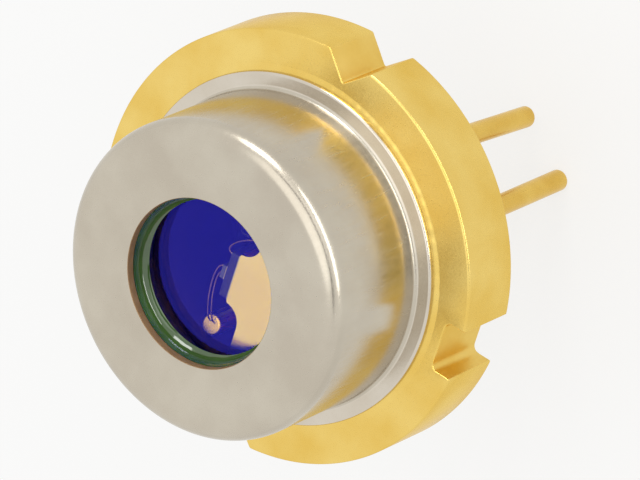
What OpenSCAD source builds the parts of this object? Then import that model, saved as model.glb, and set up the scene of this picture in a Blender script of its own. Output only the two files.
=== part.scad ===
// Laser diode in a can 9 mm across.
// A stamped steel stem carries a copper heat sink and three leads. The laser chip sits on the heat sink's
// face with its light-emitting line on the can's axis, and a photodiode on the stem watches the light that
// leaves the chip's back end. A nickel cap with a soldered glass window is welded over them.
// Millimetres. +Z is the way the light leaves. The origin is the centre of the stem's front face, the face
// that a housing seats on. The key notch is on -Y, and the two V notches are on +X and -X.

/* [Stem] */
// Diameter of the rim, which a housing grips
stem_d = 9; // [8.6:0.1:11]
// Thickness of the stem
stem_t = 1.5; // [1:0.1:2.5]
// Radius stamped on the rim's two edges
stem_edge_r = 0.06; // [0.04:0.01:0.2]

/* [Notches] */
// Width of the key notch
key_w = 1.1; // [0.8:0.05:1.6]
// Depth of the key notch below the rim
key_depth = 0.5; // [0.3:0.05:0.6]
// Radius in the key notch's two corners
key_corner_r = 0.14; // [0.05:0.01:0.3]
// Depth of each V notch below the rim
vee_depth = 0.56; // [0.3:0.02:0.6]
// Angle between a V notch's sides, in degrees
vee_angle = 90; // [60:5:120]
// Angle round the rim, in degrees, by which each V notch stands nearer to the key notch than a right angle
vee_turn_angle = 2; // [0:0.5:4]

/* [Leads] */
// Diameter of each lead
lead_d = 0.45; // [0.35:0.01:0.6]
// Diameter of the circle that the leads stand on
lead_circle_d = 2.54; // [2.2:0.02:3]
// Length of each lead behind the stem
lead_reach = 6.7; // [3:0.1:15]
// How much shorter the photodiode lead is cut than the other two
photodiode_lead_trim = 0.27; // [0:0.01:0.5]
// Rounding of the leads' cut ends
lead_end_r = 0.06; // [0.02:0.01:0.1]
// Lean of the photodiode lead from upright, in degrees, as handling leaves it; 0 is straight
lead_lean = 3; // [0:0.5:4]
// Angle of that lean round the lead, in degrees from +X; 225 is straight towards the case lead
lean_heading_angle = 225; // [180:5:270]
// Length of lead that stays straight between the stem and the lean
lead_straight = 0.25; // [0.1:0.05:0.5]
// Diameter of the glass seal round an insulated lead
seal_d = 1; // [0.8:0.05:1.1]
// Dip of the glass between the lead and the hole
seal_dip = 0.05; // [0.02:0.01:0.1]
// Leg of the braze fillet that holds the case lead
braze_leg = 0.18; // [0.1:0.01:0.35]

/* [Cap] */
// Diameter of the cap's barrel
cap_d = 6.6; // [6:0.02:6.8]
// Height of the cap above the stem
cap_h = 2.86; // [2.6:0.01:4.5]
// Thickness of the cap's sheet
cap_wall = 0.2; // [0.12:0.01:0.26]
// Outer radius where the barrel turns into the face
cap_corner_r = 0.4; // [0.3:0.01:0.6]
// Width of the weld flange outside the barrel
flange_w = 0.36; // [0.3:0.02:0.5]
// Thickness of the weld flange
flange_t = 0.14; // [0.1:0.01:0.2]
// Radius where the barrel meets the flange
flange_blend_r = 0.1; // [0.04:0.01:0.16]
// Radius on the flange's outer edge
flange_edge_r = 0.06; // [0.02:0.01:0.08]
// Diameter of the hole that the light leaves through
aperture_d = 3.48; // [2:0.02:3.8]
// Height of the bead pushed up round the weld
bead_h = 0.04; // [0.02:0.01:0.08]
// Radius of the bead's section
bead_r = 0.07; // [0.05:0.01:0.1]

/* [Window] */
// Thickness of the window glass
glass_t = 0.3; // [0.2:0.01:0.4]
// How far the glass reaches past the hole, all round
glass_lap = 0.66; // [0.4:0.02:0.8]
// Thickness of the solder glass between the cap's face and the window
frit_t = 0.32; // [0.1:0.01:0.38]
// Radius of the solder glass's hollow inner face
frit_hollow_r = 0.42; // [0.4:0.01:0.6]
// Width of the solder glass outside the window's edge
frit_skirt = 0.24; // [0.1:0.01:0.3]

/* [Heat sink] */
// Gap between the top of the heat sink and the window
window_gap = 0.17; // [0.1:0.01:0.4]
// Gap between the round back of the heat sink and the cap
cap_gap = 0.8; // [0.4:0.02:1]
// Width that the tongue has beside the submount, on each side
tongue_margin = 0.07; // [0.02:0.01:0.15]
// Gap between a lead's post and the shoulder beside it
post_gap = 0.39; // [0.25:0.01:0.6]
// Radius of the hollow where the tongue meets a shoulder
shoulder_r = 0.38; // [0.1:0.01:0.39]
// Thickness of the braze under the heat sink
braze_t = 0.03; // [0.01:0.01:0.06]
// Depth of the posts' ends below the top of the heat sink
post_drop = 0.08; // [0.02:0.01:0.2]

/* [Laser] */
// Length of the laser chip, along the beam
chip_l = 1; // [0.5:0.05:1.05]
// Width of the laser chip
chip_w = 0.3; // [0.2:0.02:0.5]
// Thickness of the laser chip
chip_t = 0.1; // [0.08:0.01:0.15]
// Length of the submount
submount_l = 1.15; // [1.05:0.05:1.2]
// Width of the submount
submount_w = 1; // [0.7:0.05:1.2]
// Thickness of the submount
submount_t = 0.19; // [0.12:0.01:0.3]
// Depth of the submount's front edge below the top of the heat sink
submount_drop = 0.02; // [0:0.01:0.1]
// Thickness of the solder film under the chip
chip_solder_t = 0.01; // [0.005:0.001:0.02]
// Thickness of the solder film under the submount
submount_solder_t = 0.015; // [0.01:0.001:0.03]

/* [Photodiode] */
// Side of the square photodiode chip
photodiode_w = 1; // [0.6:0.05:1.1]
// Thickness of the photodiode chip
photodiode_t = 0.25; // [0.15:0.01:0.3]
// Thickness of the solder under the photodiode
photodiode_solder_t = 0.02; // [0.01:0.005:0.04]
// Gap between the photodiode and the heat sink
photodiode_gap = 0.08; // [0.04:0.01:0.2]

/* [Bond wires] */
// Diameter of the gold wire
wire_d = 0.036; // [0.025:0.001:0.05]
// Diameter of the pressed ball at a wire's first end
ball_d = 0.09; // [0.07:0.01:0.12]
// Height of the pressed ball
ball_h = 0.03; // [0.02:0.005:0.04]
// Height of the flattened stitch at a wire's last end
stitch_h = 0.012; // [0.01:0.002:0.02]
// Depth of the bonds on the chip below its front end
wire_drop = 0.1; // [0.05:0.01:0.4]
// Reach of the longer laser wire away from the chip before it turns
laser_loop = 0.36; // [0.2:0.02:0.5]
// Reach of the ground wire away from the faces that it joins
ground_loop = 0.4; // [0.2:0.02:0.6]
// Rise of the photodiode's wire before it turns
photodiode_loop = 0.7; // [0.3:0.05:1]

/* [Hidden] */
$fn = 96;
cut = 1;                // how far a cutting shape runs past the face it cuts

stem_r = stem_d / 2;
lead_r = lead_d / 2;
seal_r = seal_d / 2;
post_x = lead_circle_d / 2;

cap_r = cap_d / 2;
cap_inner_r = cap_r - cap_wall;
cap_ceiling = cap_h - cap_wall;
flange_r = cap_r + flange_w;
aperture_r = aperture_d / 2;
bead_ring_r = flange_r + bead_r;

glass_r = aperture_r + glass_lap;
glass_top = cap_ceiling - frit_t;
glass_bottom = glass_top - glass_t;
skirt_drop = glass_t * 2 / 3;

block_top = glass_bottom - window_gap;
post_top = block_top - post_drop;
block_r = cap_inner_r - cap_gap;
tongue_half_w = submount_w / 2 + tongue_margin;
shoulder_y = -(lead_r + post_gap);

// The chip's light-emitting line, on the face that is soldered down, lies on the can's axis
submount_face = -chip_solder_t;
submount_back = submount_face - submount_t;
tongue_y = submount_back - submount_solder_t;
submount_top = block_top - submount_drop;

photodiode_y = tongue_y + photodiode_gap + photodiode_w / 2;
photodiode_top = photodiode_solder_t + photodiode_t;

wire_r = wire_d / 2;
ball_r = ball_d / 2;
wire_sides = 8;
wire_rings = 14;
wire_z = submount_top - wire_drop;
wire_pitch = chip_w / 2;
post_landing = lead_r / 2;
landing_rise = glass_bottom - post_top;

// ---- Shared forms ----

// A rectangle from (x0, y0) to (x1, y1)
module area(x0, y0, x1, y1) {
    translate([x0, y0]) square([x1 - x0, y1 - y0]);
}

// The same rectangle with one rounded corner, at (x1, y1)
module area_round_corner(x0, y0, x1, y1, r) {
    area(x0, y0, x1 - r, y1);
    area(x0, y0, x1, y1 - r);
    translate([x1 - r, y1 - r]) circle(r);
}

// The hollow triangle between two legs of length r that meet square at (x, y); sx, sy give their directions
module hollow_corner(x, y, r, sx, sy) {
    difference() {
        translate([x + sx * r / 2, y + sy * r / 2]) square(r, center = true);
        translate([x + sx * r, y + sy * r]) circle(r);
    }
}

// ---- Stem ----

module stem_section() {
    area(0, -stem_t, stem_r - stem_edge_r, 0);
    area(0, stem_edge_r - stem_t, stem_r, -stem_edge_r);
    for (z = [-stem_edge_r, stem_edge_r - stem_t])
        translate([stem_r - stem_edge_r, z]) circle(stem_edge_r);
    intersection() {
        translate([bead_ring_r, bead_h - bead_r]) circle(bead_r);
        area(flange_r, -stem_edge_r, stem_r, stem_edge_r);
    }
}

// Notch with a flat floor and two round corners, open outwards along +Y from its floor at y = 0
module key_notch() {
    translate([-key_w / 2, key_corner_r]) square([key_w, key_depth + cut]);
    translate([key_corner_r - key_w / 2, 0]) square([key_w - 2 * key_corner_r, key_corner_r + cut]);
    for (x = [-1, 1])
        translate([x * (key_w / 2 - key_corner_r), key_corner_r]) circle(key_corner_r);
}

// V notch, open outwards along +Y from its root at y = 0
module vee_notch() {
    vee_reach = vee_depth + cut;
    vee_half_w = vee_reach * tan(vee_angle / 2);
    polygon([[0, 0], [vee_half_w, vee_reach], [-vee_half_w, vee_reach]]);
}

// Turns a shape that is cut into the rim at +Y to the given angle from +Y
module at_rim(angle, depth) {
    rotate(angle) translate([0, stem_r - depth]) children();
}

module stem() {
    color("gold") difference() {
        rotate_extrude() stem_section();
        for (side = [-1, 1])
            translate([side * post_x, 0, -stem_t - cut]) cylinder(r = seal_r, h = stem_t + 2 * cut);
        translate([0, 0, -stem_t - cut]) linear_extrude(stem_t + 2 * cut) {
            at_rim(180, key_depth) key_notch();
            at_rim(90 + vee_turn_angle, vee_depth) vee_notch();
            at_rim(-90 - vee_turn_angle, vee_depth) vee_notch();
        }
    }
}

// ---- Leads and their seals ----

// A length of lead wire from z0 up to z1, with a small radius on each end that is free
module lead(z0, z1, free_foot, free_top) {
    foot_r = free_foot ? lead_end_r : 0;
    top_r = free_top ? lead_end_r : 0;
    rotate_extrude() {
        area(0, z0 + foot_r, lead_r, z1 - top_r);
        area(0, z0, lead_r - lead_end_r, z1);
        if (free_foot) translate([lead_r - foot_r, z0 + foot_r]) mirror([0, 1]) rounded_end(foot_r);
        if (free_top) translate([lead_r - top_r, z1 - top_r]) rounded_end(top_r);
    }
}

module rounded_end(r) {
    intersection() {
        circle(r);
        square(r);
    }
}

module lead_laser() {
    color("gold") translate([-post_x, 0, 0]) lead(-stem_t - lead_reach, post_top, true, true);
}

// Straight through the stem, then bent a little, so that its free end leans towards the case lead. The two
// lengths are cut along the plane that halves the bend, and meet there.
module lead_photodiode() {
    color("gold") translate([post_x, 0, -stem_t - lead_straight]) rotate(lean_heading_angle) {
        difference() {
            lead(-lead_d, post_top + stem_t + lead_straight, false, true);
            rotate([0, -lead_lean / 2, 0]) translate([-lead_d, -lead_d, -2 * lead_d]) cube(2 * lead_d);
        }
        difference() {
            rotate([0, -lead_lean, 0])
                lead(lead_straight + photodiode_lead_trim - lead_reach, lead_d, true, false);
            rotate([0, -lead_lean / 2, 0]) translate([-lead_d, -lead_d, 0]) cube(2 * lead_d);
        }
    }
}

// The case lead is brazed square on to the back of the stem, by an end that is rounded like the others
module lead_case() {
    color("gold") translate([0, -post_x, 0]) lead(-stem_t - lead_reach, -stem_t, true, true);
}

module case_lead_braze() {
    braze_edge = braze_leg / 10;
    color("goldenrod") translate([0, -post_x, -stem_t]) rotate_extrude() {
        difference() {
            area(lead_r, -braze_leg - braze_edge, lead_r + braze_leg + braze_edge, 0);
            translate([lead_r + braze_leg + braze_edge, -braze_leg - braze_edge]) circle(braze_leg);
        }
        hollow_corner(lead_r, 0, lead_end_r, -1, -1);
    }
}

// Glass between a lead and its hole, with a shallow hollow at each end
module glass_seal() {
    half_w = (seal_r - lead_r) / 2;
    hollow_r = (half_w * half_w + seal_dip * seal_dip) / (2 * seal_dip);
    rotate_extrude() difference() {
        area(lead_r, -stem_t, seal_r, 0);
        translate([lead_r + half_w, hollow_r - seal_dip]) circle(hollow_r);
        translate([lead_r + half_w, seal_dip - hollow_r - stem_t]) circle(hollow_r);
    }
}

module glass_seal_laser() {
    color("darkslategray") translate([-post_x, 0, 0]) glass_seal();
}

module glass_seal_photodiode() {
    color("darkslategray") translate([post_x, 0, 0]) glass_seal();
}

// ---- Heat sink ----

// Round back, a straight front face, and a tongue that stands forward between the two posts
module heat_sink_outline() {
    difference() {
        intersection() {
            circle(block_r);
            area(-block_r, -block_r, block_r, tongue_y);
        }
        for (side = [0, 1]) mirror([side, 0]) shoulder_cut();
    }
}

module shoulder_cut() {
    area(tongue_half_w, shoulder_y + shoulder_r, block_r + cut, tongue_y + cut);
    area(tongue_half_w + shoulder_r, shoulder_y, block_r + cut, tongue_y + cut);
    translate([tongue_half_w + shoulder_r, shoulder_y + shoulder_r]) circle(shoulder_r);
}

module heat_sink() {
    color("goldenrod") translate([0, 0, braze_t]) linear_extrude(block_top - braze_t) heat_sink_outline();
}

module heat_sink_braze() {
    color("silver") linear_extrude(braze_t) heat_sink_outline();
}

// ---- Cap ----

module cap_outside() {
    area_round_corner(0, 0, cap_r, cap_h, cap_corner_r);
    area_round_corner(0, 0, flange_r, flange_t, flange_edge_r);
    hollow_corner(cap_r, flange_t, flange_blend_r, 1, 1);
}

module cap_inside() {
    inner_corner_r = cap_corner_r - cap_wall;
    inner_foot_r = flange_t;
    area_round_corner(0, -cut, cap_inner_r, cap_ceiling, inner_corner_r);
    hollow_corner(cap_inner_r, 0, inner_foot_r, 1, 1);
    area(0, 0, aperture_r, cap_h + cut);
}

module cap() {
    color("silver") rotate_extrude() difference() {
        cap_outside();
        cap_inside();
    }
}

// ---- Window ----

module window_glass() {
    color("midnightblue") translate([0, 0, glass_bottom]) cylinder(r = glass_r, h = glass_t);
}

// Solder glass: it fills the gap above the window, wets its edge, and is hollow where it meets the hole
module window_frit() {
    skirt_r = glass_r + frit_skirt;
    skirt_foot = glass_top - skirt_drop;
    color("darkgreen") rotate_extrude() difference() {
        area(aperture_r - frit_hollow_r, skirt_foot, skirt_r, cap_ceiling);
        area(0, skirt_foot - cut, glass_r, glass_top);
        translate([aperture_r - frit_hollow_r, cap_ceiling]) circle(frit_hollow_r);
        translate([skirt_r, skirt_foot]) circle(frit_skirt * 3 / 4);
    }
}

// ---- Laser chip on its submount ----

// A block of width w, length l and thickness t, face down on the plane y = back, its front end at z = top
module plate(w, l, t, back, top) {
    translate([-w / 2, back, top - l]) cube([w, t, l]);
}

module submount() {
    color("gainsboro") plate(submount_w, submount_l, submount_t, submount_back, submount_top);
}

module submount_solder() {
    color("khaki") plate(submount_w, submount_l, submount_solder_t, tongue_y, submount_top);
}

module laser_chip() {
    color("dimgray") plate(chip_w, chip_l, chip_t, 0, submount_top);
}

module chip_solder() {
    color("khaki") plate(chip_w, chip_l, chip_solder_t, submount_face, submount_top);
}

// ---- Photodiode ----

module photodiode_square(z, t) {
    translate([-photodiode_w / 2, photodiode_y - photodiode_w / 2, z]) cube([photodiode_w, photodiode_w, t]);
}

module photodiode() {
    color("darkslateblue") photodiode_square(photodiode_solder_t, photodiode_t);
}

module photodiode_solder() {
    color("silver") photodiode_square(0, photodiode_solder_t);
}

// ---- Bond wires ----

function unit(v) = v / norm(v);
function bend_point(p, t) =
    pow(1 - t, 3) * p[0] + 3 * pow(1 - t, 2) * t * p[1] + 3 * (1 - t) * pow(t, 2) * p[2] + pow(t, 3) * p[3];
function bend_way(p, t) =
    unit(pow(1 - t, 2) * (p[1] - p[0]) + 2 * (1 - t) * t * (p[2] - p[1]) + pow(t, 2) * (p[3] - p[2]));
function ring_point(p, t, level, k) =
    let (
        way = bend_way(p, t),
        side = unit(cross(way, level)),
        rise = cross(side, way),
        angle = 360 * k / wire_sides
    )
    bend_point(p, t) + wire_r * (cos(angle) * side + sin(angle) * rise);

// A wire along one smooth bend. It leaves its start along leave and comes down to its end against arrive,
// which both stand square on the faces there; level is a direction that the wire never runs along.
// A pressed ball holds its start and a flat stitch its end.
module bond_wire(start, leave, end, arrive, level) {
    bend = [start, start + leave, end + arrive, end];
    points = [for (i = [0 : wire_rings], k = [0 : wire_sides - 1]) ring_point(bend, i / wire_rings, level, k)];
    last = wire_rings * wire_sides;
    faces = concat(
        [[for (k = [0 : wire_sides - 1]) k]],
        [for (i = [0 : wire_rings - 1], k = [0 : wire_sides - 1], half = [0, 1])
            let (
                a = i * wire_sides + k,
                b = i * wire_sides + (k + 1) % wire_sides,
                c = b + wire_sides,
                d = a + wire_sides
            )
            half == 0 ? [a, c, b] : [a, d, c]],
        [[for (k = [wire_sides - 1 : -1 : 0]) last + k]]
    );
    polyhedron(points, faces);
    bond_pad(start, unit(leave), ball_h);
    bond_pad(end, unit(arrive), stitch_h);
}

// A pressed disc that stands on a face at a point and rises along out
module bond_pad(at, out, h) {
    translate(at) rotate([0, acos(out.z), atan2(out.y, out.x)]) cylinder(r = ball_r, h = h);
}

// One of the two wires that feed the chip, side by side from its plated face to the top of the post
module laser_wire(side, loop) {
    start = [side * wire_pitch / 2, chip_t, wire_z];
    end = [post_landing - post_x, side * wire_pitch / 3, post_top];
    color("gold") bond_wire(start, [0, loop, 0], end, [0, 0, landing_rise], [1, 1, -1]);
}

module laser_wire_1() { laser_wire(1, laser_loop); }
module laser_wire_2() { laser_wire(-1, laser_loop * 2 / 3); }

// From the submount's plating to the shoulder of the heat sink, which joins the chip to the case
module ground_wire() {
    start = [submount_w / 2 - ball_d, submount_face, wire_z];
    end = [tongue_half_w + shoulder_r + ball_r, shoulder_y, wire_z];
    color("gold") bond_wire(start, [0, ground_loop, 0], end, [0, ground_loop, 0], [0, 0, 1]);
}

// From the top of the photodiode up to the top of its post
module photodiode_wire() {
    start = [photodiode_w / 4, photodiode_y, photodiode_top];
    end = [post_x - post_landing, 0, post_top];
    color("gold") bond_wire(start, [0, 0, photodiode_loop], end, [0, 0, landing_rise], [0, 1, 0]);
}

stem();
heat_sink();
heat_sink_braze();
lead_laser();
lead_photodiode();
lead_case();
case_lead_braze();
glass_seal_laser();
glass_seal_photodiode();
cap();
window_glass();
window_frit();
submount();
submount_solder();
laser_chip();
chip_solder();
photodiode();
photodiode_solder();
laser_wire_1();
laser_wire_2();
ground_wire();
photodiode_wire();
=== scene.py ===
"""Laser diode in a 9 mm can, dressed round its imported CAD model."""
import math

import bpy
import numpy as np
from mathutils import Matrix, Vector
from mathutils.geometry import delaunay_2d_cdt


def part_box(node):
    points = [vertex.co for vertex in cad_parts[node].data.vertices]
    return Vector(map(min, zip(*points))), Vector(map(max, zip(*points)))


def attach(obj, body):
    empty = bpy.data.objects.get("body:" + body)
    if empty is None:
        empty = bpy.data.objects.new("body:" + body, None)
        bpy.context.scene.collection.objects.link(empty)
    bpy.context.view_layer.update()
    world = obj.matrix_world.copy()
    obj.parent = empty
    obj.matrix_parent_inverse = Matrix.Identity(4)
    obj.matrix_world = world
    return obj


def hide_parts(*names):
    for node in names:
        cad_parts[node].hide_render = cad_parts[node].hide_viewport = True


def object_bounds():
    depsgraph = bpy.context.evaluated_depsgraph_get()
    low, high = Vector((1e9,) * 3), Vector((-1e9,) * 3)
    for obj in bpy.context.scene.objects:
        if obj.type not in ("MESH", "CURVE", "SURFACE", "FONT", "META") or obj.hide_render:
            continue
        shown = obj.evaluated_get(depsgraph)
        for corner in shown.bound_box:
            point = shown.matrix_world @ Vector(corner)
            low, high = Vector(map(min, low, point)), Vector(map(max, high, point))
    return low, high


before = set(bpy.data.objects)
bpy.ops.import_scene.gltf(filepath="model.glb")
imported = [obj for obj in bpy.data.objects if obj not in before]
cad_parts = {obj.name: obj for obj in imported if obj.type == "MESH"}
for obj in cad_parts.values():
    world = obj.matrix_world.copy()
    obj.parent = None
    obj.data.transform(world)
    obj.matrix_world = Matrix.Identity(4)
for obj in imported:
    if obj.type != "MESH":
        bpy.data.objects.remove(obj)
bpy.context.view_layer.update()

# ---- Stem ----
# The header that everything stands on: a steel disc 9 mm across, stamped from sheet and gold plated all over.
# The punch leaves soft edges round the rim and the three notches that a housing locates it by. The weld
# pushes up a thin bright bead round the cap.

MM = 0.001    # the object's sizes are in millimetres, and Blender and the frame count in metres


def box_mm(node):
    """A CAD node's lowest and highest corners, in millimetres."""
    return [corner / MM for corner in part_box(node)]


def srgb(code):
    """An sRGB hex colour as the linear colour that a shader takes."""
    parts = [int(code[i:i + 2], 16) / 255 for i in (1, 3, 5)]
    linear = [p / 12.92 if p <= 0.04045 else ((p + 0.055) / 1.055) ** 2.4 for p in parts]
    return (*linear, 1.0)


def scale_for(size_mm):
    """The texture scale at which one feature is this long, for coordinates in metres."""
    return 1 / (size_mm * MM)


def add(tree, kind, settings=None, inputs=None):
    """Adds one node with its settings; an input is a plain value, or the output socket that feeds it."""
    node = tree.nodes.new(kind)
    for key, value in (settings or {}).items():
        setattr(node, key, value)
    for key, value in (inputs or {}).items():
        if isinstance(value, bpy.types.NodeSocket):
            tree.links.new(value, node.inputs[key])
        else:
            node.inputs[key].default_value = value
    return node


def new_material(name):
    """An empty material, with its node tree and its output node."""
    material = bpy.data.materials.new(name)
    material.use_nodes = True
    material.node_tree.nodes.clear()
    return material, material.node_tree, material.node_tree.nodes.new("ShaderNodeOutputMaterial")


def grained_metal(name, shade, light, rough, grain_mm, bump_mm, stretch=(1, 1, 1), cloud_mm=1.5,
                  rough_swing=0.06, edge_on="#FFFFFF"):
    """A metal whose plating clouds softly between two shades and carries a fine grain.

    Real plating has a grain of a few thousandths of a millimetre, which would not show, so grain_mm draws it
    about ten to thirty times as coarse. stretch draws the grain out: a small number along an axis makes it
    long that way. edge_on tints the metal where it is seen edge on.
    """
    material, tree, output = new_material(name)
    place = add(tree, "ShaderNodeTexCoord").outputs["Object"]
    drawn = add(tree, "ShaderNodeMapping", {}, {"Vector": place, "Scale": stretch}).outputs["Vector"]
    cloud = add(tree, "ShaderNodeTexNoise", {}, {
        "Vector": place, "Scale": scale_for(cloud_mm), "Detail": 4.0})
    grain = add(tree, "ShaderNodeTexNoise", {}, {
        "Vector": drawn, "Scale": scale_for(grain_mm), "Detail": 5.0})
    blend = add(tree, "ShaderNodeMapRange", {}, {
        "Value": cloud.outputs["Fac"], "From Min": 0.35, "From Max": 0.65})
    colour = add(tree, "ShaderNodeMix", {"data_type": "RGBA"}, {"Factor": blend.outputs["Result"]})
    colour.inputs[6].default_value = srgb(shade)
    colour.inputs[7].default_value = srgb(light)
    roughness = add(tree, "ShaderNodeMapRange", {}, {
        "Value": grain.outputs["Fac"], "From Min": 0.3, "From Max": 0.7,
        "To Min": rough - rough_swing, "To Max": rough + rough_swing})
    relief = add(tree, "ShaderNodeBump", {}, {
        "Height": grain.outputs["Fac"], "Distance": bump_mm * MM, "Strength": 1.0})
    metal = add(tree, "ShaderNodeBsdfPrincipled", {}, {
        "Base Color": colour.outputs[2], "Metallic": 1.0, "Roughness": roughness.outputs["Result"],
        "Specular Tint": srgb(edge_on), "Normal": relief.outputs["Normal"]})
    tree.links.new(metal.outputs[0], output.inputs["Surface"])
    return material


def piece(name, points, faces, material, replaces, sharp_deg=35):
    """A mesh from points in millimetres, smooth over its gentle edges, that stands for a CAD node."""
    mesh = bpy.data.meshes.new(name)
    mesh.from_pydata([(x * MM, y * MM, z * MM) for x, y, z in points], [], faces)
    mesh.validate()
    mesh.materials.append(material)
    mesh.shade_smooth()
    mesh.set_sharp_from_angle(angle=math.radians(sharp_deg))
    made = bpy.data.objects.new(name, mesh)
    bpy.context.scene.collection.objects.link(made)
    even = made.modifiers.new("even_normals", "WEIGHTED_NORMAL")
    even.keep_sharp = True
    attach(made, "root")
    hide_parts(replaces)
    return made


def refinish(made, material, belongs):
    """Gives a further finish to the faces whose middle, in millimetres, passes the test."""
    made.data.materials.append(material)
    for face in made.data.polygons:
        if belongs(face.center / MM):
            face.material_index = len(made.data.materials) - 1


def arc(cx, cy, r, start_deg, end_deg, steps):
    """Points along an arc, both ends included."""
    turn = [math.radians(start_deg + (end_deg - start_deg) * i / steps) for i in range(steps + 1)]
    return [(cx + r * math.cos(t), cy + r * math.sin(t)) for t in turn]


def circle(cx, cy, r, steps):
    """Points round a circle, anticlockwise from +X."""
    return np.array(arc(cx, cy, r, 0, 360, steps)[:-1])


def softened(points, spacing, spread):
    """A closed outline with points an even spacing apart, whose corners are rounded over about the spread."""
    corners = np.array(points)
    closed = np.vstack([corners, corners[:1]])
    along = np.concatenate([[0], np.cumsum(np.linalg.norm(np.diff(closed, axis=0), axis=1))])
    count = int(along[-1] / spacing)
    at = np.linspace(0, along[-1], count, endpoint=False)
    even = np.stack([np.interp(at, along, closed[:, k]) for k in (0, 1)], axis=1)
    reach = max(1, int(3 * spread / spacing))
    weights = np.exp(-0.5 * (np.arange(-reach, reach + 1) * spacing / spread) ** 2)
    weights /= weights.sum()
    return sum(w * np.roll(even, k, axis=0) for w, k in zip(weights, range(-reach, reach + 1)))


def inward(outline):
    """Unit vectors that point into an anticlockwise outline, one for each point."""
    way = np.roll(outline, -1, axis=0) - np.roll(outline, 1, axis=0)
    way /= np.linalg.norm(way, axis=1)[:, None]
    return np.stack([-way[:, 1], way[:, 0]], axis=1)


def fill(outer, holes):
    """Triangles that fill a flat outline with round holes in it, as index triples into outer + every hole."""
    merge_mm = 1e-7        # points nearer than this are one
    hole_share = 0.9999    # a triangle fills a hole if its middle lies within this share of the hole's radius
    inside_outline = 1     # delaunay_2d_cdt's number for filling only inside the outline
    loops = [outer, *holes]
    points = [Vector(p) for loop in loops for p in loop]
    edges = []
    start = 0
    for loop in loops:
        edges += [(start + i, start + (i + 1) % len(loop)) for i in range(len(loop))]
        start += len(loop)
    made, _, triangles, origin, _, _ = delaunay_2d_cdt(points, edges, [], inside_outline, merge_mm)
    centres = [np.mean(hole, axis=0) for hole in holes]
    radii = [np.max(np.linalg.norm(hole - centre, axis=1)) for hole, centre in zip(holes, centres)]
    kept = []
    for t in triangles:
        middle = np.mean([made[i] for i in t], axis=0)
        if all(np.linalg.norm(middle - c) > r * hole_share for c, r in zip(centres, radii)):
            kept.append([origin[i][0] for i in t])
    return kept


class Shell:
    """Collects rings of points and the faces between them."""

    def __init__(self):
        self.points = []
        self.faces = []

    def ring(self, xy, z):
        """Adds a ring, whose height is one number or one for each point, and gives its indices."""
        start = len(self.points)
        heights = np.broadcast_to(z, len(xy))
        self.points += [(p[0], p[1], h) for p, h in zip(xy, heights)]
        return list(range(start, start + len(xy)))

    def edge_rings(self, outline, edge, z, steps, upper):
        """Adds the rings of a wall's rounded edge, from below to above: its upper edge at z, or its foot."""
        into = inward(outline)
        rings = []
        for step in range(steps + 1):
            turn = math.pi / 2 * step / steps
            flat, steep = edge * (1 - math.cos(turn)), edge * (1 - math.sin(turn))
            in_by, rise = (flat, -steep) if upper else (steep, flat)
            rings.append(self.ring(outline + into * np.reshape(in_by, (-1, 1)), z + rise))
        return rings

    def join(self, rings):
        """Quads from each ring to the next; the rings of an anticlockwise wall go from below to above."""
        for a, b in zip(rings, rings[1:]):
            n = len(a)
            self.faces += [(a[i], a[(i + 1) % n], b[(i + 1) % n], b[i]) for i in range(n)]

    def cover(self, outer, holes, up):
        """Fills a flat face between rings that are already there."""
        flat = [np.array([self.points[i][:2] for i in ring]) for ring in (outer, *holes)]
        index = [i for ring in (outer, *holes) for i in ring]
        for a, b, c in fill(flat[0], flat[1:]):
            pa, pb, pc = (self.points[index[k]] for k in (a, b, c))
            turn = (pb[0] - pa[0]) * (pc[1] - pa[1]) - (pb[1] - pa[1]) * (pc[0] - pa[0])
            order = (a, b, c) if (turn > 0) == up else (a, c, b)
            self.faces.append(tuple(index[k] for k in order))


stem_low, stem_high = box_mm("stem")
stem_r = stem_high.y
stem_foot = stem_low.z
rim_edge = 0.06       # radius that the punch leaves on the rim's two edges
notch_edge = 0.03     # the same on the notches' edges
key_half_w = 0.55
key_depth = 0.5
key_corner_r = 0.14
vee_depth = 0.56
vee_turn = math.radians(2)    # how far each V notch stands towards the key notch
outline_pitch = 0.02    # between two points of the stamped outline
corner_soft = 0.03      # the spread that rounds its corners
edge_steps = 5
edge_blend = 3          # points over which the rim's edge turns into a notch's
bead_in_r = box_mm("cap")[1].x
bead_w = 0.14
bead_h = stem_high.z
bead_waver = 0.004    # how far the bead's outer edge wanders
bead_swing = 0.1      # how far its height does, as a share
bead_slope = 1.4      # above 1, the bead rises slowly from the stem
bead_lap = 0.01       # how far its foot reaches in under the cap's flange
bead_steps = 12
bead_sides = 720
seal_r = 0.5
seal_sides = 96
post_x = 1.27
touch = 0.01          # points and faces this close to a surface belong to it


def stem_outline():
    """The stamped outline, anticlockwise from the root of the V notch at +X."""
    vee_root = stem_r - vee_depth
    vee_side = (math.sqrt(2 * stem_r ** 2 - vee_root ** 2) - vee_root) / 2
    vee_deg = math.degrees(math.atan2(vee_side, vee_root + vee_side))
    key_deg = math.degrees(math.asin(key_half_w / stem_r))
    floor = key_depth - stem_r
    corner_x = key_half_w - key_corner_r
    corner_y = floor - key_corner_r
    root_x, root_y = vee_root * math.cos(vee_turn), -vee_root * math.sin(vee_turn)
    turn_deg = math.degrees(vee_turn)
    return (
        [(root_x, root_y)]
        + arc(0, 0, stem_r, vee_deg - turn_deg, 180 - vee_deg + turn_deg, steps=400)
        + [(-root_x, root_y)]
        + arc(0, 0, stem_r, 180 + vee_deg + turn_deg, 270 - key_deg, steps=200)
        + arc(-corner_x, corner_y, key_corner_r, 180, 90, steps=8)
        + arc(corner_x, corner_y, key_corner_r, 90, 0, steps=8)
        + arc(0, 0, stem_r, 270 + key_deg, 360 - vee_deg - turn_deg, steps=200))


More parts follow.
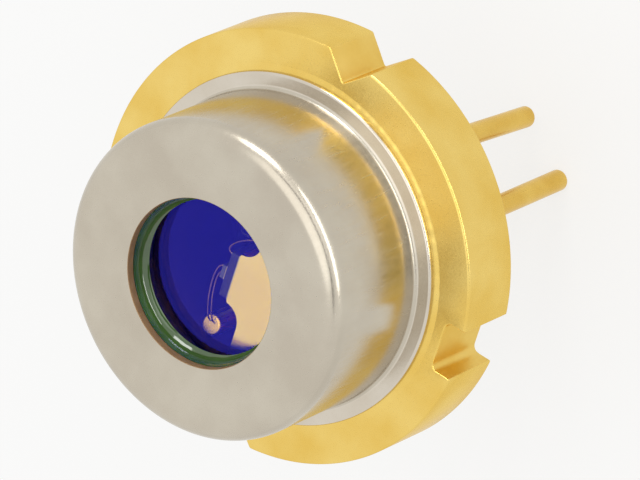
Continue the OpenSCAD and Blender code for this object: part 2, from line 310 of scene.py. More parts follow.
outline = softened(stem_outline(), outline_pitch, corner_soft)
on_rim = np.linalg.norm(outline, axis=1) > stem_r - touch
edge = np.where(on_rim, rim_edge, notch_edge)
soft = np.hanning(2 * edge_blend + 1)
edge = sum(w * np.roll(edge, k) for w, k in zip(soft / soft.sum(), range(-edge_blend, edge_blend + 1)))
stem = Shell()
rings = (stem.edge_rings(outline, edge, stem_foot, edge_steps, upper=False)
         + stem.edge_rings(outline, edge, 0.0, edge_steps, upper=True))
stem.join(rings)
angles = np.linspace(0, 2 * math.pi, bead_sides, endpoint=False)
# Two trains of uneven waves, which together show no repeat round the bead.
ripple = (0.5 * np.sin(61 * angles + 2 * np.sin(5 * angles))
          + 0.5 * np.sin(97 * angles + 3 * np.sin(3 * angles)))
bead_rings = []
for step in range(bead_steps + 1):
    across = step / bead_steps
    lift = math.sin(math.pi / 2 * across) ** bead_slope
    radius = bead_in_r - bead_waver + (bead_w + bead_waver * ripple) * (1 - across)
    bead_rings.append(stem.ring(np.stack([radius * np.cos(angles), radius * np.sin(angles)], axis=1),
                                bead_h * lift * (1 - bead_swing + bead_swing * ripple)))
bead_rings.append(stem.ring(circle(0, 0, bead_in_r - bead_lap, bead_sides), 0.0))
stem.join(bead_rings)
seats = [circle(side * post_x, 0, seal_r, seal_sides) for side in (-1, 1)]
tops = [stem.ring(seat, 0.0) for seat in seats]
feet = [stem.ring(seat, stem_foot) for seat in seats]
for top, foot in zip(tops, feet):
    stem.join([top, foot])
stem.cover(rings[-1], [bead_rings[0]], up=True)
stem.cover(bead_rings[-1], tops, up=True)
stem.cover(rings[0], feet, up=False)

# Gold over nickel on stamped steel: a soft yellow mirror, clouded by the steel's own grain.
gold_plated_steel = grained_metal("gold_plated_steel", "#E5C060", "#EED079", rough=0.24, grain_mm=0.06,
                                  bump_mm=0.001, edge_on="#F9EDC8")
header = piece("header", stem.points, stem.faces, gold_plated_steel,
               replaces="stem")
# The face inside the can was coined flat before plating: a close mirror of the can's dark inside. Its gold is
# painted a deeper tone than the stem's outside, a painted shade under the cap.
coined_gold_painted_shade = grained_metal("coined_face_painted_shade", "#D9A94E", "#E2B65C", rough=0.07, grain_mm=0.06,
                            bump_mm=0.0001, rough_swing=0.02)
refinish(header, coined_gold_painted_shade,
         lambda at: at.z > -touch and math.hypot(at.x, at.y) < bead_in_r - 2 * touch)
# The punch tore the notches' walls a little: the same gold, but satin.
punched_gold = grained_metal("gold_plated_punched_wall", "#E5C060", "#EED079", rough=0.42, grain_mm=0.06,
                             bump_mm=0.001, edge_on="#F9EDC8")
refinish(header, punched_gold,
         lambda at: stem_foot + rim_edge < at.z < -rim_edge
         and bead_in_r < math.hypot(at.x, at.y) < stem_r - notch_edge)

# ---- Glass seals ----
# Each live lead passes through the stem in a bead of dark sealing glass, fused in a furnace. It wets the lead
# and the hole, so its ends are shallow hollows.

lead_r = 0.225
seal_dip = 0.05


def turned(profile, sides, cx=0.0, cy=0.0):
    """A Shell turned round an upright axis from a closed (r, z) profile that runs anticlockwise."""
    shell = Shell()
    rings = [shell.ring(circle(cx, cy, r, sides), z) for r, z in profile]
    shell.join(rings + rings[:1])
    return shell


def seal_profile():
    """The bead from its foot up, with a hollow at each end."""
    half_w = (seal_r - lead_r) / 2
    hollow_r = (half_w ** 2 + seal_dip ** 2) / (2 * seal_dip)
    middle = lead_r + half_w
    swing = math.degrees(math.asin(half_w / hollow_r))
    low = arc(middle, stem_foot + seal_dip - hollow_r, hollow_r, 90 + swing, 90 - swing, steps=12)
    high = arc(middle, hollow_r - seal_dip, hollow_r, -90 + swing, -90 - swing, steps=12)
    return low + high


# Sealing glass: almost black, with the wet shine of a fused surface.
sealing_glass, tree, output = new_material("fused_sealing_glass")
place = add(tree, "ShaderNodeTexCoord").outputs["Object"]
swirl = add(tree, "ShaderNodeTexNoise", {}, {"Vector": place, "Scale": scale_for(0.3), "Detail": 3.0})
tone = add(tree, "ShaderNodeValToRGB", {}, {"Fac": swirl.outputs["Fac"]})
tone.color_ramp.elements[0].color = srgb("#10201C")
tone.color_ramp.elements[1].color = srgb("#24403A")
waves = add(tree, "ShaderNodeBump", {}, {"Height": swirl.outputs["Fac"], "Distance": 0.01 * MM})
glass = add(tree, "ShaderNodeBsdfPrincipled", {}, {
    "Base Color": tone.outputs["Color"], "Roughness": 0.08, "IOR": 1.52, "Normal": waves.outputs["Normal"]})
tree.links.new(glass.outputs[0], output.inputs["Surface"])
for side, node in ((-1, "glass_seal_laser"), (1, "glass_seal_photodiode")):
    seal = turned(seal_profile(), seal_sides, side * post_x)
    piece(node + "_bead", seal.points, seal.faces, sealing_glass, replaces=node)

# ---- Leads ----
# Three lengths of iron-nickel-cobalt wire, drawn, cut and tumbled, then gold plated. Two pass through their
# glass and end inside the can as bonding posts; the third is brazed to the stem's rear face.

lead_foot, post_top = (corner.z for corner in box_mm("lead_laser"))
lead_end_r = 0.06
lead_sides = 64
lead_straight = 0.25    # the straight stretch under the stem, before the photodiode lead's bend
lead_lean = math.radians(3)
lean_heading = math.radians(225)
photodiode_lead_trim = 0.27
post_slope = math.tan(math.radians(8))    # the cut ends of the posts fall away towards the middle
post_cut_h = 0.3        # how far down from its end the cut has drawn a post


def tube(path, radii, sides, first_side=(0.0, 1.0, 0.0)):
    """A round bar along a path, closed by flat ends."""
    path = np.array(path, float)
    way = np.gradient(path, axis=0)
    way /= np.linalg.norm(way, axis=1)[:, None]
    side = np.array(first_side)
    points, faces = [], []
    for centre, ahead, r in zip(path, way, radii):
        side = side - ahead * side.dot(ahead)
        side /= np.linalg.norm(side)
        up = np.cross(ahead, side)
        for k in range(sides):
            turn = 2 * math.pi * k / sides
            points.append(tuple(centre + r * (math.cos(turn) * side + math.sin(turn) * up)))
    for i in range(len(path) - 1):
        for k in range(sides):
            a, b = i * sides + k, i * sides + (k + 1) % sides
            faces.append((a, b, b + sides, a + sides))
    last = (len(path) - 1) * sides
    faces.append(tuple(reversed(range(sides))))
    faces.append(tuple(range(last, last + sides)))
    return points, faces


def lead_wire(name, node, foot, bend, top, free_top=True):
    """A lead from its cut foot through its bend to its top; tumbling has rounded each free end."""
    foot, bend, top = (np.array(p, float) for p in (foot, bend, top))
    end_steps = 6
    turn = [math.pi / 2 * i / end_steps for i in range(end_steps + 1)]
    # The shares of the stretches below and above the bend at which they have rings, with a gap for the bend.
    below, above = np.linspace(0.04, 0.94, 24), np.linspace(0.05, 0.93, 12)
    length = np.linalg.norm(bend - foot)
    low = (bend - foot) / length
    rise = np.linalg.norm(top - bend)
    high = (top - bend) / rise
    path = [foot + low * lead_end_r * (1 - math.cos(t)) for t in turn]
    path += [foot + low * (lead_end_r + (length - lead_end_r) * share) for share in below]
    path += [bend + high * rise * share for share in above]
    radii = [lead_r - lead_end_r * (1 - math.sin(t)) for t in turn]
    radii += [lead_r] * (len(path) - len(radii))
    if free_top:
        path += [top - high * lead_end_r * (1 - math.sin(t)) for t in turn]
        radii += [lead_r - lead_end_r * (1 - math.cos(t)) for t in turn]
    else:
        path.append(top)
        radii.append(lead_r)
    points, faces = tube(path, radii, lead_sides)
    if free_top:
        away = -math.copysign(1, top[0])
        points = [(x, y, z - post_slope * (lead_r + away * (x - top[0]))
                   * np.clip((z - top[2]) / post_cut_h + 1, 0, 1)) for x, y, z in points]
    piece(name, points, faces, gold_plated_wire, replaces=node, sharp_deg=50)


# Gold over drawn wire: the die's fine lines run along it and stretch each highlight across it.
gold_plated_wire = grained_metal("gold_plated_drawn_wire", "#DDB452", "#E8C464", rough=0.3, grain_mm=0.03,
                                 bump_mm=0.001, stretch=(1, 1, 0.06), cloud_mm=0.8)
bend_z = stem_foot - lead_straight
lead_wire("laser_lead", "lead_laser", (-post_x, 0, lead_foot), (-post_x, 0, bend_z), (-post_x, 0, post_top))
lean_x = math.sin(lead_lean) * math.cos(lean_heading)
lean_y = math.sin(lead_lean) * math.sin(lean_heading)
free_length = bend_z - lead_foot - photodiode_lead_trim
lead_wire("photodiode_lead", "lead_photodiode",
          (post_x + lean_x * free_length, lean_y * free_length, bend_z - math.cos(lead_lean) * free_length),
          (post_x, 0, bend_z), (post_x, 0, post_top))
lead_wire("case_lead", "lead_case", (0, -post_x, lead_foot), (0, -post_x, bend_z), (0, -post_x, stem_foot),
          free_top=False)

# ---- Case lead's braze ----
# Silver-copper braze drawn by its own surface into a hollow fillet between the case lead and the stem, and
# plated over with them.

braze_leg = 0.18
braze_lip = 0.018
fillet_x = lead_r + braze_leg + braze_lip
fillet_z = stem_foot - braze_leg - braze_lip
fillet = turned([(lead_r, stem_foot), (lead_r, fillet_z)]
                + arc(fillet_x, fillet_z, braze_leg, 180, 90, steps=12)
                + [(fillet_x, stem_foot)], seal_sides, 0.0, -post_x)
# Gold over braze: softer and rounder than the stem's, with the braze's slight ripple.
gold_plated_braze = grained_metal("gold_plated_braze", "#DEB256", "#EAC468", rough=0.3, grain_mm=0.09,
                                  bump_mm=0.004)
piece("case_lead_fillet", fillet.points, fillet.faces, gold_plated_braze,
      replaces="case_lead_braze")

# ---- Heat sink ----
# A copper block that carries the laser's heat down into the stem. It is cut from a profiled bar, with a
# round back, a flat front, and a tongue between two hollows that clear the lead posts, then gold plated and
# brazed on.

sink_low, sink_high = box_mm("heat_sink")
sink_back_r = -sink_low.y
tongue_half_w = 0.57
shoulder_y = -0.615
shoulder_r = 0.38
sink_edge = 0.02
sink_pitch = 0.015    # between two points of the bar's profile
sink_soft = 0.04      # the spread that rounds its corners


def heat_sink_outline():
    """The bar's profile, anticlockwise from the left end of its round back."""
    shoulder_x = math.sqrt(sink_back_r ** 2 - shoulder_y ** 2)
    shoulder_deg = math.degrees(math.atan2(shoulder_y, shoulder_x))
    hollow_x = tongue_half_w + shoulder_r
    hollow_y = shoulder_y + shoulder_r
    back = arc(0, 0, sink_back_r, -180 - shoulder_deg, shoulder_deg, steps=120)
    right = [(tongue_half_w, sink_high.y)] + arc(hollow_x, hollow_y, shoulder_r, 180, 270, steps=16)
    left = [(-x, y) for x, y in right]
    return back + right[::-1] + left


def slab(outline, foot, top, edge, steps, foot_rounded=True):
    """A Shell that fills a flat outline from foot to top, with its edges rounded."""
    shell = Shell()
    if foot_rounded:
        rings = shell.edge_rings(outline, edge, foot, steps, upper=False)
    else:
        rings = [shell.ring(outline, foot)]
    rings += shell.edge_rings(outline, edge, top, steps, upper=True)
    shell.join(rings)
    shell.cover(rings[0], [], up=False)
    shell.cover(rings[-1], [], up=True)
    return shell


bar = softened(heat_sink_outline(), sink_pitch, sink_soft)
sink = slab(bar, sink_low.z, sink_high.z, sink_edge, edge_steps, foot_rounded=False)
# Gold over machined copper: a paler, closer mirror than the stem's.
gold_plated_copper = grained_metal("gold_plated_copper", "#EACD63", "#F2D876", rough=0.16, grain_mm=0.04,
                                   bump_mm=0.0005)
block = piece("heat_sink_block", sink.points, sink.faces, gold_plated_copper,
              replaces="heat_sink")
# The bar's drawn sides: dull, with the die's lines, and painted a deeper copper red than the top,
# a painted warm reflection of the light inside the can.
drawn_side_painted_reflection = grained_metal("drawn_copper_painted_reflection", "#D4824A", "#E09258", rough=0.5, grain_mm=0.05,
                           bump_mm=0.001, stretch=(1, 1, 0.1))
refinish(block, drawn_side_painted_reflection, lambda at: at.z < sink_high.z - sink_edge)


def dress(node, material):
    """Gives a CAD node that stays in view its finish."""
    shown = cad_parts[node]
    shown.data.materials.clear()
    shown.data.materials.append(material)


# Silver-copper braze: a thin pale line under the block.
silver_copper_braze = grained_metal("silver_copper_braze", "#CFC4B0", "#DDD4C4", rough=0.4, grain_mm=0.05,
                                    bump_mm=0.002)
dress("heat_sink_braze", silver_copper_braze)

# ---- Submount ----
# A little tile of aluminium nitride that spreads the laser's heat, gold metallised on both faces and soldered
# to the tongue.

submount_edge = 0.012
fine_edge_steps = 3    # enough for edges as small as these


def tile(name, node, material, edge):
    """A small block with broken edges that fills a CAD node's box."""
    low, high = box_mm(node)
    corners = [(low.x, low.y), (high.x, low.y), (high.x, high.y), (low.x, high.y)]
    block = slab(softened(corners, edge / 3, 1.5 * edge), low.z, high.z, edge, fine_edge_steps)
    piece(name, block.points, block.faces, material, replaces=node)


def faced_block(name, body, film, facing, rough_body, grain_mm):
    """A material for a block whose two faces along one axis, facing, carry a metal film."""
    material, tree, output = new_material(name)
    coords = add(tree, "ShaderNodeTexCoord")
    grain = add(tree, "ShaderNodeTexNoise", {}, {
        "Vector": coords.outputs["Object"], "Scale": scale_for(grain_mm), "Detail": 4.0})
    side = add(tree, "ShaderNodeVectorMath", {"operation": "DOT_PRODUCT"}, {
        0: coords.outputs["Normal"], 1: facing})
    size = add(tree, "ShaderNodeMath", {"operation": "ABSOLUTE"}, {0: side.outputs["Value"]})
    on_film = add(tree, "ShaderNodeMath", {"operation": "GREATER_THAN"}, {0: size.outputs[0], 1: 0.7})
    speck = add(tree, "ShaderNodeMapRange", {}, {
        "Value": grain.outputs["Fac"], "To Min": 0.85, "To Max": 1.15})
    colour = add(tree, "ShaderNodeMix", {"data_type": "RGBA"}, {"Factor": on_film.outputs[0]})
    colour.inputs[6].default_value = srgb(body)
    colour.inputs[7].default_value = srgb(film)
    toned = add(tree, "ShaderNodeMix", {"data_type": "RGBA", "blend_type": "MULTIPLY"}, {"Factor": 1.0})
    tree.links.new(colour.outputs[2], toned.inputs[6])
    tree.links.new(speck.outputs["Result"], toned.inputs[7])
    rough = add(tree, "ShaderNodeMapRange", {}, {
        "Value": on_film.outputs[0], "To Min": rough_body, "To Max": 0.2})
    relief = add(tree, "ShaderNodeBump", {}, {"Height": grain.outputs["Fac"], "Distance": 0.0008 * MM})
    shader = add(tree, "ShaderNodeBsdfPrincipled", {}, {
        "Base Color": toned.outputs[2], "Metallic": on_film.outputs[0], "Roughness": rough.outputs["Result"],
        "Normal": relief.outputs["Normal"]})
    tree.links.new(shader.outputs[0], output.inputs["Surface"])
    return material


# Aluminium nitride: a matt ceramic edge, painted dark grey as a painted shade for the dim inside of the can,
# with bright gold film on the two faces that are soldered.
metallised_ceramic = faced_block("metallised_ceramic", "#353230", "#EBCB85", facing=(0.0, 1.0, 0.0),
                                 rough_body=0.55, grain_mm=0.02)
tile("submount_tile", "submount", metallised_ceramic, submount_edge)
# Gold-tin solder: a pale, slightly rough seam.
gold_tin = grained_metal("gold_tin_solder", "#CDBE96", "#DCCDA6", rough=0.35, grain_mm=0.03, bump_mm=0.001)
dress("submount_solder", gold_tin)

# ---- Laser chip ----
# A sliver of cleaved crystal, gold on its two wide faces, that lies with its active side on the submount.
# Its ends are mirrors left by the cleaving.

chip_edge = 0.006
# Gallium arsenide: dark polished crystal between two bright gold faces.
laser_crystal = faced_block("cleaved_laser_crystal", "#4A4A50", "#EBCB85", facing=(0.0, 1.0, 0.0),
                            rough_body=0.08, grain_mm=0.03)
tile("laser_crystal", "laser_chip", laser_crystal, chip_edge)
dress("chip_solder", gold_tin)

# ---- Photodiode ----
# A square of silicon on the stem behind the laser, which measures the light that leaves the chip's back end.
# It is held by silver epoxy, and a dark blue nitride film covers its top.

diode_edge = 0.01
# Silicon under nitride: a polished face of deep, slightly uneven blue.
silicon, tree, output = new_material("nitride_coated_silicon")
coords = add(tree, "ShaderNodeTexCoord")
haze = add(tree, "ShaderNodeTexNoise", {}, {"Vector": coords.outputs["Object"], "Scale": scale_for(0.5)})
film = add(tree, "ShaderNodeValToRGB", {}, {"Fac": haze.outputs["Fac"]})
film.color_ramp.elements[0].color = srgb("#14142E")
film.color_ramp.elements[1].color = srgb("#1E2450")
polish = add(tree, "ShaderNodeBsdfPrincipled", {}, {
    "Base Color": film.outputs["Color"], "Roughness": 0.1, "IOR": 2.0})
tree.links.new(polish.outputs[0], output.inputs["Surface"])
tile("photodiode_chip", "photodiode", silicon, diode_edge)
# Silver epoxy: a dull grey seam with the grain of its silver flakes.
silver_epoxy = grained_metal("silver_epoxy", "#A8A8A8", "#BCBCBA", rough=0.5, grain_mm=0.03, bump_mm=0.002)
dress("photodiode_solder", silver_epoxy)

# ---- Bond wires ----
# Gold wire thinner than a hair, welded by heat and sound. Each begins as a ball pressed on a face, rises in a
# loop, and ends as a flattened stitch.

wire_r = 0.018
wire_sides = 16
wire_steps = 64
ball_r = 0.045
ball_h = 0.03
stitch_h = 0.012
pad_sides = 32
# A pad from its foot up, as shares of the ball's radius and of the pad's height.
pad_bulge = [(0.82, 0.0), (0.95, 0.2), (1.0, 0.45), (0.96, 0.72), (0.8, 0.92), (0.45, 1.0)]
askew = (0.577, 0.577, 0.577)    # a direction along which no pad stands


def bond_pad(points, faces, at, out, h):
    """Adds a pressed pad, round in plan and bulged at its side, that stands on a face."""
    side = np.cross(out, askew)
    side /= np.linalg.norm(side)
    up = np.cross(out, side)
    start = len(points)
    for r, z in pad_bulge:
        for k in range(pad_sides):
            turn = 2 * math.pi * k / pad_sides
            points.append(tuple(at + out * h * z
                                + ball_r * r * (math.cos(turn) * side + math.sin(turn) * up)))
    last = start + (len(pad_bulge) - 1) * pad_sides
    for low in range(start, last, pad_sides):
        for k in range(pad_sides):
            a, b = low + k, low + (k + 1) % pad_sides
            faces.append((a, b, b + pad_sides, a + pad_sides))
    faces.append(tuple(reversed(range(start, start + pad_sides))))
    faces.append(tuple(range(last, last + pad_sides)))


def bond_wire(name, node, start, leave, end, arrive):
    """A wire along one smooth bend from its ball at start to its stitch at end.

    leave and arrive point square out of the faces that the two ends are pressed on, and their lengths set how
    far the bend swings out from there.
    """
    start, leave, end, arrive = (np.array(v, float) for v in (start, leave, end, arrive))
    path = []
    for t in np.linspace(0, 1, wire_steps + 1):
        s = 1 - t
        path.append(s ** 3 * start + 3 * s * s * t * (start + leave)
                    + 3 * s * t * t * (end + arrive) + t ** 3 * end)
    points, faces = tube(path, [wire_r] * len(path), wire_sides, first_side=(0.3, -0.5, 0.8))
    bond_pad(points, faces, start, leave / np.linalg.norm(leave), ball_h)
    bond_pad(points, faces, end, arrive / np.linalg.norm(arrive), stitch_h)
    # The loop takes the wire gold with its painted shade; the pressed ends take gold's own colour.
    made = piece(name, points, faces, bond_gold_painted_shade, replaces=node, sharp_deg=60)
    refinish(made, pressed_gold, lambda at: min(math.dist(at, start), math.dist(at, end)) < 1.1 * ball_r)


# Fine gold wire, painted a dark brown gold as a painted shade for the dim inside of the can: each loop shows
# one thin line of light. The pressed ends keep gold's own bright colour.
bond_gold_painted_shade = grained_metal("fine_gold_wire_painted_shade", "#6E5230", "#80603A", rough=0.2, grain_mm=0.02, bump_mm=0.0001,
                          cloud_mm=0.3, rough_swing=0.02)
pressed_gold = grained_metal("pressed_fine_gold", "#EACD63", "#F2D876", rough=0.25, grain_mm=0.02,
                             bump_mm=0.0001, cloud_mm=0.3)
submount_high = box_mm("submount")[1]
chip_low, chip_high = box_mm("laser_chip")
diode_low, diode_high = box_mm("photodiode")
glass_low, glass_high = box_mm("window_glass")
wire_z = submount_high.z - 0.1
wire_pitch = (chip_high.x - chip_low.x) / 2
landing_x = post_x - lead_r / 2    # half way out on the post's top, on the side towards the middle
landing_z = post_top - post_slope * 1.5 * lead_r
landing_rise = glass_low.z - post_top
laser_loop = 0.36
ground_loop = 0.4
diode_loop = 0.7
for side, loop, name in ((1, laser_loop, "laser_wire_1"), (-1, laser_loop * 2 / 3, "laser_wire_2")):
    bond_wire("gold_" + name, name, (side * wire_pitch / 2, chip_high.y, wire_z), (0, loop, 0),
              (-landing_x, side * wire_pitch / 3, landing_z), (0, 0, landing_rise))
bond_wire("gold_ground_wire", "ground_wire",
          (submount_high.x - 2 * ball_r, submount_high.y, wire_z), (0, ground_loop, 0),
          (tongue_half_w + shoulder_r + ball_r, shoulder_y, wire_z), (0, ground_loop, 0))
bond_wire("gold_photodiode_wire", "photodiode_wire",
          ((diode_high.x - diode_low.x) / 4, (diode_low.y + diode_high.y) / 2, diode_high.z),
          (0, 0, diode_loop), (landing_x, 0, landing_z), (0, 0, landing_rise))

# ---- Solder glass ----
# A ring of green solder glass that was melted between the cap and the window. It hangs in a glossy hollow
# between the hole's edge and the glass, and wraps the window's rim inside.

frit_low, frit_high = box_mm("window_frit")
can_sides = 360    # of everything round in the cap
aperture_r = 1.74
hollow_r = 0.42
hollow_deg = math.degrees(math.asin((frit_high.z - glass_high.z) / hollow_r))
skirt_r = frit_high.x
skirt_round = 0.18
glass_r = glass_high.x
solder_ring = turned(
    [(glass_r, glass_high.z), (glass_r, frit_low.z), (skirt_r - skirt_round, frit_low.z)]
    + arc(skirt_r, frit_low.z, skirt_round, 180, 90, steps=10)
    + [(skirt_r, frit_high.z)]
    + arc(aperture_r - hollow_r, frit_high.z, hollow_r, 0, -hollow_deg, steps=24), can_sides)
# Solder glass: deep bottle green. Its lead makes it shine more than window glass does, and it keeps the slow
# waves of a melt.
solder_glass, tree, output = new_material("green_solder_glass")
place = add(tree, "ShaderNodeTexCoord").outputs["Object"]
melt = add(tree, "ShaderNodeTexNoise", {}, {"Vector": place, "Scale": scale_for(0.6), "Detail": 2.0})
green = add(tree, "ShaderNodeValToRGB", {}, {"Fac": melt.outputs["Fac"]})
green.color_ramp.elements[0].color = srgb("#2A461C")
green.color_ramp.elements[1].color = srgb("#466A2C")
waves = add(tree, "ShaderNodeBump", {}, {"Height": melt.outputs["Fac"], "Distance": 0.015 * MM})
wet = add(tree, "ShaderNodeBsdfPrincipled", {}, {
    "Base Color": green.outputs["Color"], "Roughness": 0.08, "IOR": 1.8, "Normal": waves.outputs["Normal"]})
tree.links.new(wet.outputs[0], output.inputs["Surface"])
piece("solder_glass_ring", solder_ring.points, solder_ring.faces, solder_glass,
      replaces="window_frit")

# ---- Window ----
# A disc of borosilicate glass, ground and polished, coated on both faces against reflection of the laser's
# deep red. What the coating still mirrors is blue, and what passes it is a little yellow.

glass_gap = 0.002    # keeps the disc's faces off the solder glass round it
glass_edge = 0.02
window = slab(circle(0, 0, glass_r - glass_gap, can_sides), glass_low.z, glass_high.z - glass_gap,
              glass_edge, fine_edge_steps)
# Coated glass: clear, with a strong blue mirror and next to none in red and green.
coating_mirror = (0.08, 0.06, 3.5, 1.0)    # of what bare glass mirrors, in red, green and blue
coated_glass, tree, output = new_material("coated_window_glass")
place = add(tree, "ShaderNodeTexCoord").outputs["Object"]
drift = add(tree, "ShaderNodeTexNoise", {}, {"Vector": place, "Scale": scale_for(2.0), "Detail": 1.0})
clear = add(tree, "ShaderNodeValToRGB", {}, {"Fac": drift.outputs["Fac"]})
clear.color_ramp.elements[0].color = srgb("#FAF8F4")
clear.color_ramp.elements[1].color = srgb("#FFFDFA")
pane = add(tree, "ShaderNodeBsdfPrincipled", {}, {
    "Base Color": clear.outputs["Color"], "Roughness": 0.0, "IOR": 1.5, "Transmission Weight": 1.0,
    "Specular Tint": coating_mirror})
tree.links.new(pane.outputs[0], output.inputs["Surface"])
piece("window_disc", window.points, window.faces, coated_glass,
      replaces="window_glass")

# ---- Cap ----
# A cup drawn from thin steel and nickel plated, with a pierced hole for the window. Its turned-out flange is
# resistance-welded to the stem.

cap_high = box_mm("cap")[1]
cap_r = 3.3
cap_wall = 0.2
cap_corner_r = 0.4
flange_r = cap_high.x
flange_t = 0.14
flange_edge_r = 0.06
flange_blend_r = 0.1
hole_edge_r = 0.02
inner_r = cap_r - cap_wall
ceiling = cap_high.z - cap_wall
corner_x = cap_r - cap_corner_r
corner_z = cap_high.z - cap_corner_r
hole_x = aperture_r + hole_edge_r
cap = turned(
    [(flange_r, 0.0)]
    + arc(flange_r - flange_edge_r, flange_t - flange_edge_r, flange_edge_r, 0, 90, steps=8)
    + arc(cap_r + flange_blend_r, flange_t + flange_blend_r, flange_blend_r, 270, 180, steps=8)
    + arc(corner_x, corner_z, cap_corner_r, 0, 90, steps=20)
    + arc(hole_x, cap_high.z - hole_edge_r, hole_edge_r, 90, 180, steps=4)
    + arc(hole_x, ceiling + hole_edge_r, hole_edge_r, 180, 270, steps=4)
    + arc(corner_x, corner_z, cap_corner_r - cap_wall, 90, 0, steps=12)
    + arc(inner_r + flange_t, flange_t, flange_t, 180, 270, steps=8), can_sides)
# Nickel over drawn steel: a warm grey satin mirror, with soft lines up the wall where the die drew it.
nickel_plated_steel = grained_metal("nickel_plated_drawn_steel", "#BFB6A6", "#C8C0B0", rough=0.24,
                                    grain_mm=0.08, bump_mm=0.0005, stretch=(1, 1, 0.12), cloud_mm=1.2,
                                    rough_swing=0.04)
drawn_cap = piece("drawn_cap", cap.points, cap.faces, nickel_plated_steel,
                  replaces="cap")
# Inside, the furnace that melted the glass has left a dark oxide that nothing polishes off.
oxidised_steel = grained_metal("furnace_oxidised_steel", "#1C1613", "#2C231D", rough=0.4, grain_mm=0.1,
                               bump_mm=0.004)
refinish(drawn_cap, oxidised_steel,
         lambda at: math.hypot(at.x, at.y) < inner_r + (flange_t if at.z < flange_t else 0) + touch
         and at.z < ceiling + hole_edge_r)
# The weld electrode pressed the flange against the stem: the same nickel, a little smoother,
# and painted paler, a painted light on the flange.
flange_nickel_painted_light = grained_metal("weld_pressed_flange_painted_light", "#CDC3B3", "#D6CEC0", rough=0.2, grain_mm=0.08,
                                 bump_mm=0.0005, cloud_mm=1.2, rough_swing=0.03)
flange_finish_in_r = cap_r + 0.06
flange_finish_top = 1.4 * flange_t
refinish(drawn_cap, flange_nickel_painted_light,
         lambda at: at.z < flange_finish_top and math.hypot(at.x, at.y) > flange_finish_in_r)
# In the pierced hole the oxide is thin and matt, a warm brown.
browned_steel, tree, output = new_material("browned_pierced_steel")
place = add(tree, "ShaderNodeTexCoord").outputs["Object"]
rub = add(tree, "ShaderNodeTexNoise", {}, {"Vector": place, "Scale": scale_for(0.25), "Detail": 4.0})
tan = add(tree, "ShaderNodeValToRGB", {}, {"Fac": rub.outputs["Fac"]})
tan.color_ramp.elements[0].color = srgb("#80603F")
tan.color_ramp.elements[1].color = srgb("#A8865E")
pierced = add(tree, "ShaderNodeBump", {}, {"Height": rub.outputs["Fac"], "Distance": 0.01 * MM})
brown = add(tree, "ShaderNodeBsdfPrincipled", {}, {
    "Base Color": tan.outputs["Color"], "Metallic": 0.3, "Roughness": 0.5,
    "Normal": pierced.outputs["Normal"]})
tree.links.new(brown.outputs[0], output.inputs["Surface"])
refinish(drawn_cap, browned_steel,
         lambda at: math.hypot(at.x, at.y) < aperture_r + hole_edge_r / 2 and at.z > ceiling + hole_edge_r)

# ---- Studio ----
# A white tent: a pale floor under the leads, a white surround, a wide softbox overhead, two low strip lamps
# in front, and a black edge across the softbox's lower part. Its sizes are in metres.

low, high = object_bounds()
centre = (low + high) / 2
floor_half = 0.5
floor_z = low.z - 0.02 * MM
floor_ways = ((-1, -1), (1, -1), (1, 1), (-1, 1))
floor_corners = [(x * floor_half, y * floor_half, floor_z) for x, y in floor_ways]
floor_mesh = bpy.data.meshes.new("floor")
floor_mesh.from_pydata(floor_corners, [], [(0, 1, 2, 3)])
floor = bpy.data.objects.new("floor", floor_mesh)
bpy.context.scene.collection.objects.link(floor)


def seen_directly(tree):
    """1 for a ray from the camera, metal or glass, and 0 for the light that falls on a surface."""
    path = add(tree, "ShaderNodeLightPath")
    first = add(tree, "ShaderNodeMath", {"operation": "MAXIMUM"}, {
        0: path.outputs["Is Camera Ray"], 1: path.outputs["Is Glossy Ray"]})
    both = add(tree, "ShaderNodeMath", {"operation": "MAXIMUM"}, {
        0: first.outputs[0], 1: path.outputs["Is Transmission Ray"]})
    return both.outputs[0]


# White paper: it takes the part's soft shadow, and otherwise reads as the white surround.
paper_glow = 0.7    # the share of the surround's white that shows in it
paper, tree, output = new_material("white_paper")
matt = add(tree, "ShaderNodeBsdfDiffuse", {}, {"Color": srgb("#F4F4F2")})
glow = add(tree, "ShaderNodeEmission", {}, {"Color": (1, 1, 1, 1), "Strength": 1.0})
share = add(tree, "ShaderNodeMath", {"operation": "MULTIPLY"}, {0: seen_directly(tree), 1: paper_glow})
blend = add(tree, "ShaderNodeMixShader", {}, {0: share.outputs[0], 1: matt.outputs[0], 2: glow.outputs[0]})
tree.links.new(blend.outputs[0], output.inputs["Surface"])
floor_mesh.materials.append(paper)

tent_light = 0.7    # the light that the tent throws on the part, where the white it shows is 1
world = bpy.data.worlds.new("white_tent")
world.use_nodes = True
bpy.context.scene.world = world
tree = world.node_tree
tree.nodes.clear()
strength = add(tree, "ShaderNodeMapRange", {}, {
    "Value": seen_directly(tree), "To Min": tent_light, "To Max": 1.0})
tent = add(tree, "ShaderNodeBackground", {}, {
    "Color": (1, 1, 1, 1), "Strength": strength.outputs["Result"]})
tree.links.new(tent.outputs[0], add(tree, "ShaderNodeOutputWorld").inputs["Surface"])


def toward(azimuth_deg, height_deg):
    """The unit vector at an azimuth from +X and a height over the floor."""
    azimuth, height = math.radians(azimuth_deg), math.radians(height_deg)
    level = math.cos(height)
    return Vector((math.cos(azimuth) * level, math.sin(azimuth) * level, math.sin(height)))


lamp_distance = 0.3


def soft_lamp(name, way, width, height, radiance, shape="RECTANGLE"):
    """A soft lamp that faces the part; radiance sets how bright its face is, whatever its size."""
    data = bpy.data.lights.new(name, "AREA")
    data.shape = shape
    data.size, data.size_y = width, height
    area = width * height * (math.pi / 4 if shape == "ELLIPSE" else 1)
    data.energy = radiance * math.pi * area
    lamp = bpy.data.objects.new(name, data)
    lamp.location = centre + way * lamp_distance
    lamp.rotation_euler = way.to_track_quat("Z", "Y").to_euler()
    lamp.visible_camera = False
    bpy.context.scene.collection.objects.link(lamp)


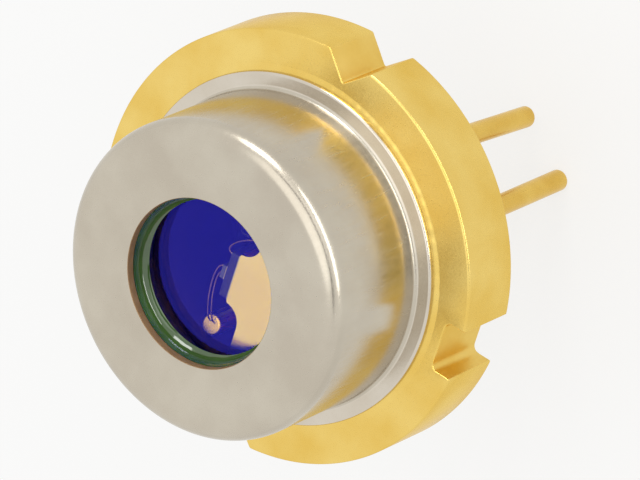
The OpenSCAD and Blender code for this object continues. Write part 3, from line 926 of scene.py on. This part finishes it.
soft_lamp("overhead_softbox", toward(-24, 57), width=0.38, height=0.38, radiance=0.75, shape="ELLIPSE")
soft_lamp("low_strip_left", toward(-46, 8), width=0.34, height=0.036, radiance=6.0)
soft_lamp("low_strip_right", toward(16, 14), width=0.12, height=0.09, radiance=6.0)

# The black edge across the softbox, which bright metal shows as one dark line.
edge_middle = -41.7       # its middle's azimuth in degrees, which is about the camera's
edge_span = 100           # how many degrees it spans
edge_heights = (36, 43)   # its lower and upper edge, in degrees over the floor
edge_distance = 0.2
edge_panes = 24
edge_row = edge_panes + 1
edge_azimuths = [edge_middle + edge_span * (i / edge_panes - 0.5) for i in range(edge_row)]
edge_points = [tuple(centre + toward(azimuth, height) * edge_distance)
               for height in edge_heights for azimuth in edge_azimuths]
edge_faces = [(i, i + 1, i + 1 + edge_row, i + edge_row) for i in range(edge_panes)]
edge_mesh = bpy.data.meshes.new("tent_edge")
edge_mesh.from_pydata(edge_points, [], edge_faces)
tent_edge = bpy.data.objects.new("tent_edge", edge_mesh)
tent_edge.visible_camera = False
tent_edge.visible_diffuse = False
tent_edge.visible_shadow = False
bpy.context.scene.collection.objects.link(tent_edge)
dark_cloth, tree, output = new_material("dark_cloth")
cloth = add(tree, "ShaderNodeBsdfDiffuse", {}, {"Color": srgb("#2A2A2A")})
tree.links.new(cloth.outputs[0], output.inputs["Surface"])
edge_mesh.materials.append(dark_cloth)

# A long lens 150 mm off, which looks down on the window. It is rolled so that the leads point up to the
# right.
lens_mm = 422.4
sensor_mm = 36.0
lens_at = (0.07056, -0.06305, 0.11638)
picture_right = Vector((0.2726, -0.7704, -0.5763))
picture_up = Vector((0.8405, 0.4821, -0.2470))
camera_data = bpy.data.cameras.new("camera")
camera_data.lens = lens_mm
camera_data.sensor_width = sensor_mm
camera_data.clip_start = 0.01
camera_data.clip_end = 10.0
camera = bpy.data.objects.new("camera", camera_data)
bpy.context.scene.collection.objects.link(camera)
camera.location = lens_at
backward = picture_right.cross(picture_up)
camera.rotation_euler = Matrix((picture_right, picture_up, backward)).transposed().to_euler()
bpy.context.scene.camera = camera

bpy.context.scene.view_settings.view_transform = "Standard"
